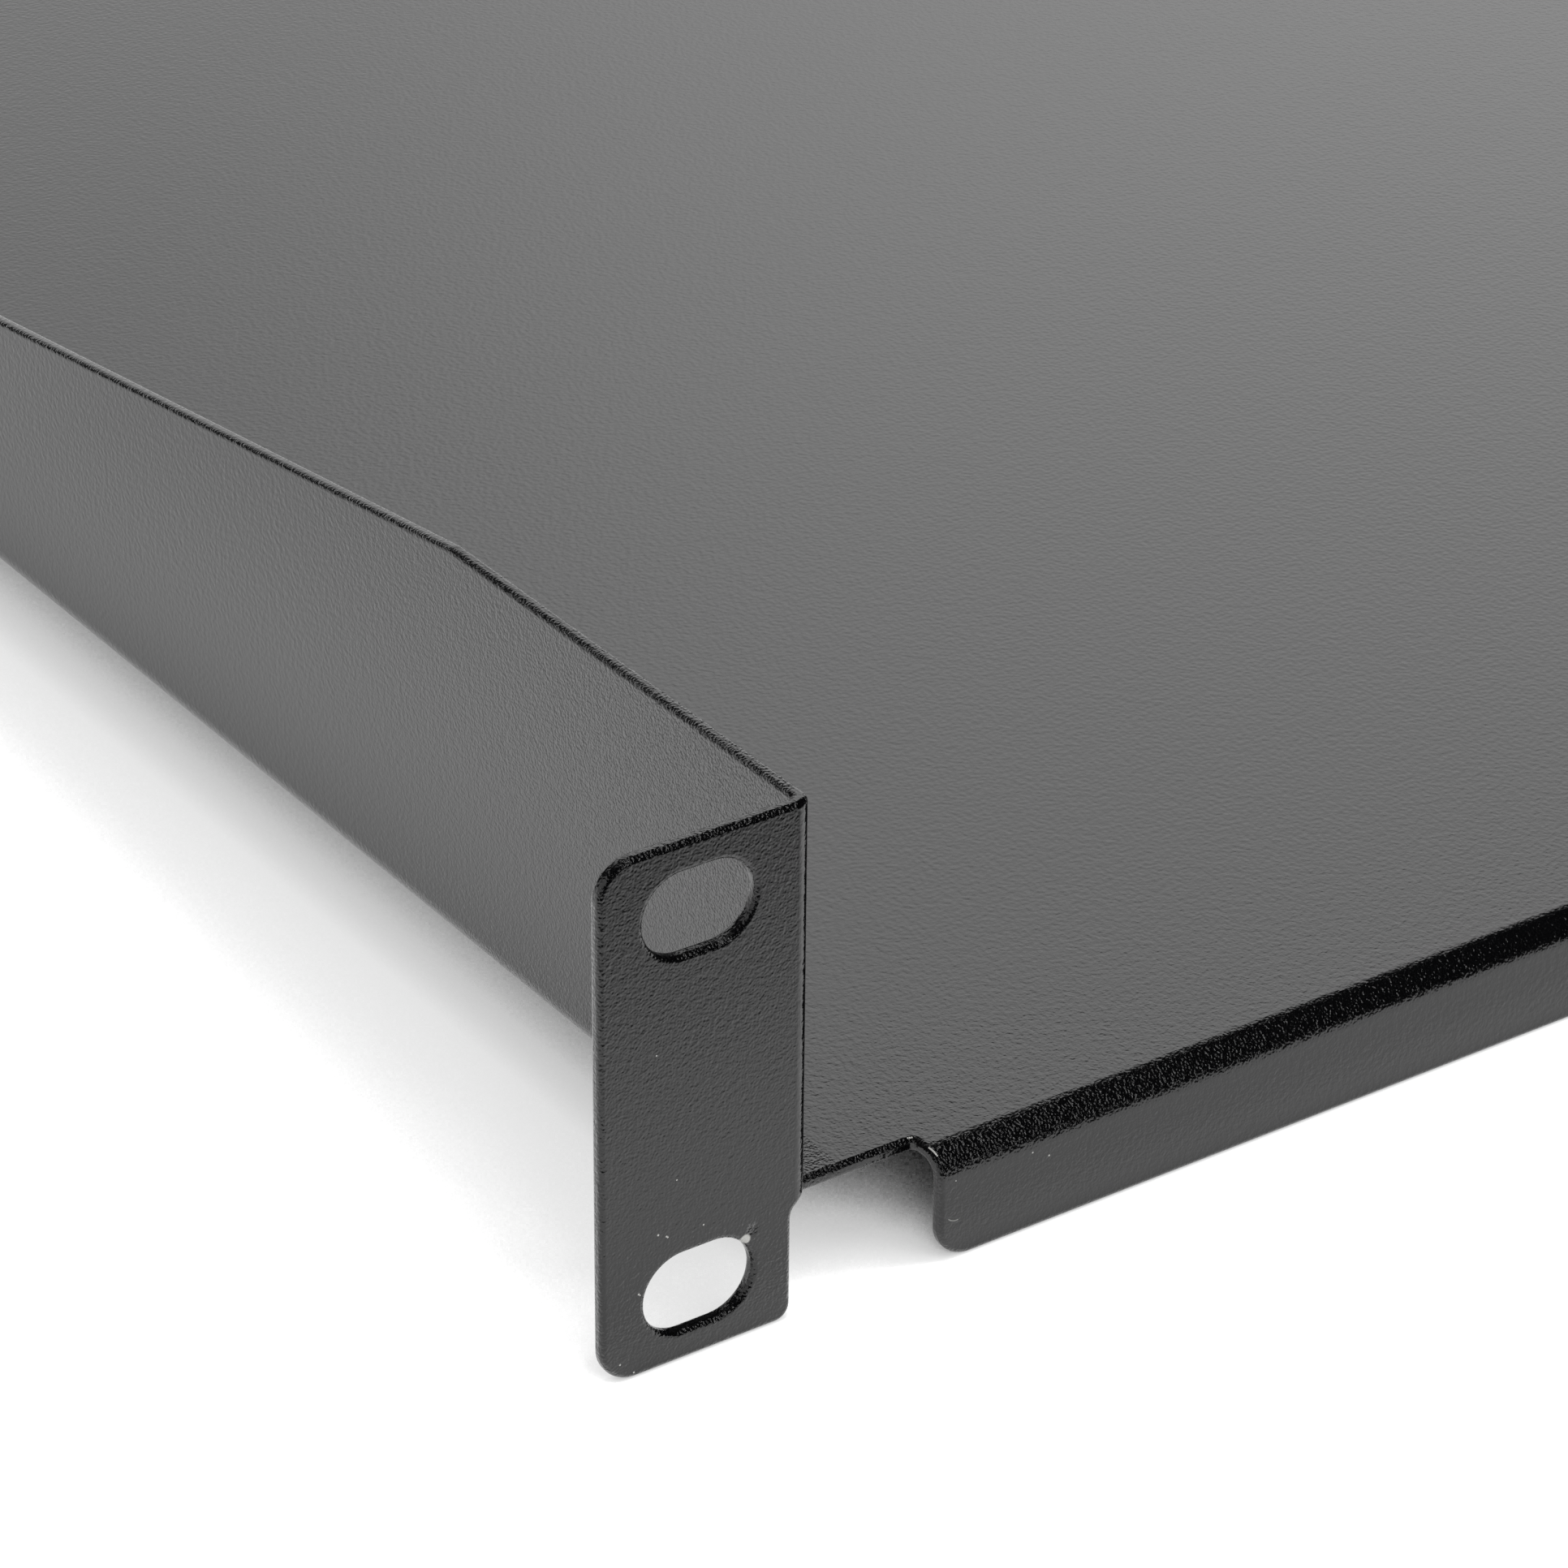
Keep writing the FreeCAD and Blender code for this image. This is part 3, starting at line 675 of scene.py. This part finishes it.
def grain_depth(tree, places, finish):
    """Give two sockets: the share of its depth that the grain has, and that depth as a negative length.

    The grain is deep on heavy coat, at the front corners and on the walls beside the ears. Towards the middle
    and the rear it fades, since it is too fine to be seen there.
    """
    axes = node(tree, "ShaderNodeSeparateXYZ", {0: places})
    aside = node(tree, "ShaderNodeMath", {0: axes.outputs["X"]}, operation="ABSOLUTE")
    near_side = node(
        tree,
        "ShaderNodeMapRange",
        {
            "Value": aside.outputs[0],
            "From Min": HIGH.x - SIDE_REACH,
            "From Max": HIGH.x - SIDE_REACH / 4,
            "To Min": -MIDDLE_GRAIN * finish.grain_depth,
            "To Max": -finish.grain_depth,
        },
    )
    near_front = node(
        tree,
        "ShaderNodeMapRange",
        {
            "Value": axes.outputs["Y"],
            "From Min": LOW.y,
            "From Max": LOW.y + FRONT_REACH,
            "To Min": FRONT_GRAIN,
            "To Max": OPEN_GRAIN,
        },
        interpolation_type="SMOOTHSTEP",
    )
    build = node(tree, "ShaderNodeAttribute", attribute_name=COAT_BUILD)
    heavy = node(
        tree,
        "ShaderNodeMath",
        {0: build.outputs["Fac"], 1: FOLD_GRAIN, 2: near_front.outputs[0]},
        operation="MULTIPLY_ADD",
    )
    on_wall = node(tree, "ShaderNodeMath", {0: aside.outputs[0], 1: WALL_SIDE}, operation="GREATER_THAN")
    rising = node(
        tree,
        "ShaderNodeMapRange",
        {
            "Value": axes.outputs["Y"],
            "From Min": WALL_RISE[0],
            "From Max": WALL_RISE[1],
            "To Max": WALL_GRAIN,
        },
    )
    falling = node(
        tree,
        "ShaderNodeMapRange",
        {
            "Value": axes.outputs["Y"],
            "From Min": WALL_FALL[0],
            "From Max": WALL_FALL[1],
            "To Min": 1.0,
            "To Max": WALL_REAR_GRAIN,
        },
    )
    wall_grain = node(
        tree, "ShaderNodeMath", {0: rising.outputs[0], 1: falling.outputs[0]}, operation="MULTIPLY"
    )
    heavy = node(
        tree,
        "ShaderNodeMath",
        {0: on_wall.outputs[0], 1: wall_grain.outputs[0], 2: heavy.outputs[0]},
        operation="MULTIPLY_ADD",
    )
    gap = node(tree, "ShaderNodeVectorMath", {0: places, 1: Vector(COARSE_SPOT) * MM}, operation="DISTANCE")
    coarse = node(
        tree,
        "ShaderNodeMapRange",
        {
            "Value": gap.outputs["Value"],
            "From Min": COARSE_REACH,
            "From Max": COARSE_REACH / 3,
            "To Max": COARSE_GRAIN,
        },
    )
    heavy = node(tree, "ShaderNodeMath", {0: heavy.outputs[0], 1: coarse.outputs[0]}, operation="ADD")
    return heavy.outputs[0], near_side.outputs[0]


def powder_coat(finish):
    """Black polyester powder coat with a fine texture, sprayed as powder and baked.

    The powder melts into grains a fifth of a millimetre wide over ripples about twice as wide. They break the
    gloss up, so a face that mirrors the bright backdrop turns soft grey, and every rounded edge shows black
    with sparkles. Nicks, scratches and dust show pale, and the same pale colour paints highlights on a few
    edges at the end of the lip's fold, at the corner of the notch and where the lip starts.
    """
    material = bpy.data.materials.new("textured_powder_coat")
    material.use_nodes = True
    tree = material.node_tree
    tree.nodes.clear()
    places = node(tree, "ShaderNodeTexCoord").outputs["Object"]
    grain, ripples = (
        node(tree, "ShaderNodeTexNoise", {"Vector": places, "Scale": 1 / size, "Detail": GRAIN_DETAIL})
        for size in (finish.grain_size, finish.wrinkle_size)
    )
    share, depth = grain_depth(tree, places, finish)
    sunk = node(tree, "ShaderNodeMath", {0: grain.outputs["Fac"], 1: share}, operation="MULTIPLY")
    scaled = node(tree, "ShaderNodeMath", {0: sunk.outputs[0], 1: depth}, operation="MULTIPLY")
    height = node(
        tree,
        "ShaderNodeMath",
        {0: ripples.outputs["Fac"], 1: finish.wrinkle_depth, 2: scaled.outputs[0]},
        operation="MULTIPLY_ADD",
    )
    bump = node(tree, "ShaderNodeBump", {"Height": height.outputs[0], "Strength": 1.0, "Distance": 1.0})
    # Pale nicks, scratches and dust, and painted highlights on a few edges, over the black coat
    colour = node(
        tree,
        "ShaderNodeMix",
        {"Factor": coat_marks_and_highlights(tree, places), 6: (*finish.coat, 1.0), 7: (*finish.marks_and_highlights, 1.0)},
        data_type="RGBA",
    )
    coat = node(
        tree,
        "ShaderNodeBsdfPrincipled",
        {
            "Base Color": colour.outputs[2],
            "Normal": bump.outputs["Normal"],
            "Roughness": finish.roughness,
            "IOR": COAT_IOR,
        },
    )
    node(tree, "ShaderNodeOutputMaterial", {"Surface": coat.outputs["BSDF"]})
    return material


def studio_floor(finish):
    """Matt white paper sweep, lit from all round.

    The camera and the coat's reflections see it as white as a well lit sweep, down to a soft grey shadow
    where the shelf keeps the light off. Other surfaces are lit by plain white paper.
    """
    material = bpy.data.materials.new("white_paper_sweep")
    material.use_nodes = True
    tree = material.node_tree
    tree.nodes.clear()
    paper = node(tree, "ShaderNodeBsdfDiffuse", {"Color": (*finish.floor, 1.0)})
    key_side = node(tree, "ShaderNodeCombineXYZ", dict(enumerate(KEY_SIDE)))
    open_sky = node(
        tree,
        "ShaderNodeAmbientOcclusion",
        {"Normal": key_side.outputs[0], "Distance": SHADOW_REACH},
        samples=SKY_SAMPLES,
    )
    shade = node(tree, "ShaderNodeValToRGB", {"Fac": open_sky.outputs["AO"]})
    brightest = SWEEP_LIGHT[-1][1]
    set_stops(shade, [(share, light / brightest) for share, light in SWEEP_LIGHT])

    axes = node(tree, "ShaderNodeSeparateXYZ", {0: node(tree, "ShaderNodeTexCoord").outputs["Object"]})
    first, last = SWEEP_ALONG[0][0], SWEEP_ALONG[-1][0]
    run = node(tree, "ShaderNodeMapRange", {"Value": axes.outputs["Y"], "From Min": first, "From Max": last})
    dimmed = node(tree, "ShaderNodeValToRGB", {"Fac": run.outputs[0]})
    set_stops(dimmed, [((place - first) / (last - first), light) for place, light in SWEEP_ALONG])
    far = node(tree, "ShaderNodeMath", {0: dimmed.outputs["Color"], 1: SWEEP_MIRRORED}, operation="MULTIPLY")

    path = node(tree, "ShaderNodeLightPath")
    mirrored = path.outputs["Is Glossy Ray"]
    reach = node(tree, "ShaderNodeMix", {0: mirrored, 2: SWEEP_SEEN, 3: far.outputs[0]}, data_type="FLOAT")
    glow = node(
        tree, "ShaderNodeMath", {0: shade.outputs["Color"], 1: reach.outputs[0]}, operation="MULTIPLY"
    )
    lit = node(tree, "ShaderNodeEmission", {"Strength": glow.outputs[0]})
    seen = node(tree, "ShaderNodeMath", {0: path.outputs["Is Camera Ray"], 1: mirrored}, operation="MAXIMUM")
    mixed = node(tree, "ShaderNodeMixShader", {0: seen.outputs[0], 1: paper.outputs[0], 2: lit.outputs[0]})
    node(tree, "ShaderNodeOutputMaterial", {"Surface": mixed.outputs[0]})
    return material


def reflected_lights(tree):
    """Give a socket with the light that reflections find in a direction of the studio.

    A bright backdrop, a softbox and a side light stand under a dark ceiling, with a lamp overhead and a strip
    light in front.
    """
    direction = node(tree, "ShaderNodeTexCoord").outputs["Generated"]
    axes = node(tree, "ShaderNodeSeparateXYZ", {0: direction})
    below_ceiling = node(
        tree,
        "ShaderNodeMapRange",
        {
            "Value": axes.outputs["Z"],
            "From Min": CEILING[0],
            "From Max": CEILING[1],
            "To Min": 1.0,
            "To Max": 0.0,
        },
        interpolation_type="SMOOTHSTEP",
    )
    to_backdrop, to_softbox = (
        node(tree, "ShaderNodeVectorMath", {0: direction, 1: side}, operation="DOT_PRODUCT").outputs["Value"]
        for side in (BACKDROP_SIDE, SOFTBOX_SIDE)
    )
    backdrop = node(
        tree,
        "ShaderNodeMapRange",
        {
            "Value": to_backdrop,
            "From Min": BACKDROP_SPREAD[0],
            "From Max": BACKDROP_SPREAD[1],
            "To Min": FRONT_LIGHT,
            "To Max": BACKDROP_LIGHT,
        },
        interpolation_type="SMOOTHSTEP",
    )
    rearward = node(
        tree,
        "ShaderNodeMapRange",
        {"Value": axes.outputs["Y"], "From Min": BACKDROP_REARWARD[0], "From Max": BACKDROP_REARWARD[1]},
        interpolation_type="SMOOTHSTEP",
    )
    backdrop = node(
        tree, "ShaderNodeMath", {0: backdrop.outputs[0], 1: rearward.outputs[0]}, operation="MULTIPLY"
    )
    softbox = node(
        tree,
        "ShaderNodeMapRange",
        {
            "Value": to_softbox,
            "From Min": SOFTBOX_SPREAD[0],
            "From Max": SOFTBOX_SPREAD[1],
            "To Max": SOFTBOX_LIGHT,
        },
        interpolation_type="SMOOTHSTEP",
    )
    behind = node(tree, "ShaderNodeMath", {0: backdrop.outputs[0], 1: softbox.outputs[0]}, operation="ADD")
    side = node(
        tree,
        "ShaderNodeMapRange",
        {
            "Value": axes.outputs["X"],
            "From Min": SIDE_SPREAD[0],
            "From Max": SIDE_SPREAD[1],
            "To Max": SIDE_LIGHT,
        },
        interpolation_type="SMOOTHSTEP",
    )
    around = node(tree, "ShaderNodeMath", {0: behind.outputs[0], 1: side.outputs[0]}, operation="MAXIMUM")

    overhead = node(
        tree,
        "ShaderNodeMapRange",
        {
            "Value": axes.outputs["Z"],
            "From Min": OVERHEAD_SPREAD[0],
            "From Max": OVERHEAD_SPREAD[1],
            "To Max": OVERHEAD_LIGHT,
        },
        interpolation_type="SMOOTHSTEP",
    )
    aside = node(tree, "ShaderNodeMath", {0: axes.outputs["X"], 1: STRIP_PLACE}, operation="SUBTRACT")
    aside = node(tree, "ShaderNodeMath", {0: aside.outputs[0]}, operation="ABSOLUTE")
    strip = node(
        tree,
        "ShaderNodeMapRange",
        {
            "Value": aside.outputs[0],
            "From Min": STRIP_SPREAD[0],
            "From Max": STRIP_SPREAD[1],
            "To Max": STRIP_LIGHT,
        },
    )
    for axis, (start, full) in (("Y", STRIP_REARWARD), ("Z", STRIP_FOOT)):
        held = node(
            tree, "ShaderNodeMapRange", {"Value": axes.outputs[axis], "From Min": start, "From Max": full}
        )
        strip = node(tree, "ShaderNodeMath", {0: strip.outputs[0], 1: held.outputs[0]}, operation="MULTIPLY")
    lamps = node(tree, "ShaderNodeMath", {0: overhead.outputs[0], 1: strip.outputs[0]}, operation="MAXIMUM")
    reflected = node(
        tree,
        "ShaderNodeMath",
        {0: below_ceiling.outputs[0], 1: around.outputs[0], 2: lamps.outputs[0]},
        operation="MULTIPLY_ADD",
    )
    return reflected.outputs[0]


def studio_world():
    """White studio: even light on matt surfaces, and lights of their own for reflections."""
    world = bpy.data.worlds.new("studio")
    bpy.context.scene.world = world
    world.use_nodes = True
    tree = world.node_tree
    tree.nodes.clear()
    mirrored = node(tree, "ShaderNodeLightPath").outputs["Is Glossy Ray"]
    strength = node(
        tree, "ShaderNodeMix", {0: mirrored, 2: 1.0, 3: reflected_lights(tree)}, data_type="FLOAT"
    )
    light = node(
        tree, "ShaderNodeBackground", {"Strength": strength.outputs[0], "Color": (1.0, 1.0, 1.0, 1.0)}
    )
    node(tree, "ShaderNodeOutputWorld", {"Surface": light.outputs[0]})


def add_camera():
    """Put the camera where the photograph was taken from, with its heading, tilt and roll."""
    heading, tilt, roll = CAMERA_HEADING, CAMERA_TILT, CAMERA_ROLL
    forward = Vector(
        (math.sin(heading) * math.cos(tilt), math.cos(heading) * math.cos(tilt), -math.sin(tilt))
    )
    level = Vector((math.cos(heading), -math.sin(heading), 0.0))
    up = level.cross(forward)
    right = level * math.cos(roll) + up * math.sin(roll)
    up = up * math.cos(roll) - level * math.sin(roll)
    camera = bpy.data.objects.new("camera", bpy.data.cameras.new("camera"))
    bpy.context.scene.collection.objects.link(camera)
    axes = Matrix((right, up, -forward)).transposed().to_4x4()
    camera.matrix_world = Matrix.Translation(Vector(CAMERA_PLACE) * MM) @ axes
    camera.data.sensor_width = SENSOR_WIDTH
    camera.data.lens = FOCAL_LENGTH_PX / PHOTO_WIDTH * SENSOR_WIDTH
    camera.data.clip_start, camera.data.clip_end = CAMERA_NEAR, CAMERA_FAR
    bpy.context.scene.camera = camera


class SHELF_OT_fold(Operator):
    """Cut the blank, fold it into the shelf and coat it"""

    bl_idname = "shelf.fold"
    bl_label = "Fold Shelf"

    def execute(self, context):
        vertices, normals, faces, build = folded_sheet(context.scene.shelf_sizes)
        shelf = add_mesh("folded_shelf", vertices, faces, normals)
        shelf.data.attributes.new(COAT_BUILD, "FLOAT", "POINT").data.foreach_set("value", build)
        shelf.data.materials.append(powder_coat(context.scene.shelf_finish))
        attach(shelf, "root")
        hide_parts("shelf")
        return {"FINISHED"}


class SHELF_OT_stage(Operator):
    """Lay the floor, light the studio and set up the camera"""

    bl_idname = "shelf.stage"
    bl_label = "Set Stage"

    def execute(self, context):
        corners = FLOOR_REACH * np.array([(-1, -1), (1, -1), (1, 1), (-1, 1)])
        vertices = np.column_stack([corners, np.full(4, LOW.z)])
        floor = add_mesh("floor", vertices, [np.array([[0, 1, 2, 3]])])
        floor.data.materials.append(studio_floor(context.scene.shelf_finish))
        studio_world()
        add_camera()
        context.scene.view_settings.view_transform = "Standard"
        return {"FINISHED"}


class SHELF_PT_sidebar(Panel):
    """Sizes and colours of the shelf, and the steps that make it"""

    bl_idname = "SHELF_PT_sidebar"
    bl_label = "Rack Shelf"
    bl_space_type = "VIEW_3D"
    bl_region_type = "UI"
    bl_category = "Rack Shelf"

    def draw(self, context):
        for settings in (context.scene.shelf_sizes, context.scene.shelf_finish):
            for name in settings.__annotations__:
                self.layout.prop(settings, name)
        self.layout.operator(SHELF_OT_fold.bl_idname)
        self.layout.operator(SHELF_OT_stage.bl_idname)


CLASSES = (ShelfSizes, ShelfFinish, SHELF_OT_fold, SHELF_OT_stage, SHELF_PT_sidebar)


def register():
    for made in CLASSES:
        bpy.utils.register_class(made)
    bpy.types.Scene.shelf_sizes = PointerProperty(type=ShelfSizes)
    bpy.types.Scene.shelf_finish = PointerProperty(type=ShelfFinish)


def unregister():
    del bpy.types.Scene.shelf_finish
    del bpy.types.Scene.shelf_sizes
    for made in reversed(CLASSES):
        bpy.utils.unregister_class(made)


def main():
    """Make the shelf and its stage."""
    register()
    bpy.ops.shelf.fold()
    bpy.ops.shelf.stage()


if __name__ == "__main__":
    main()
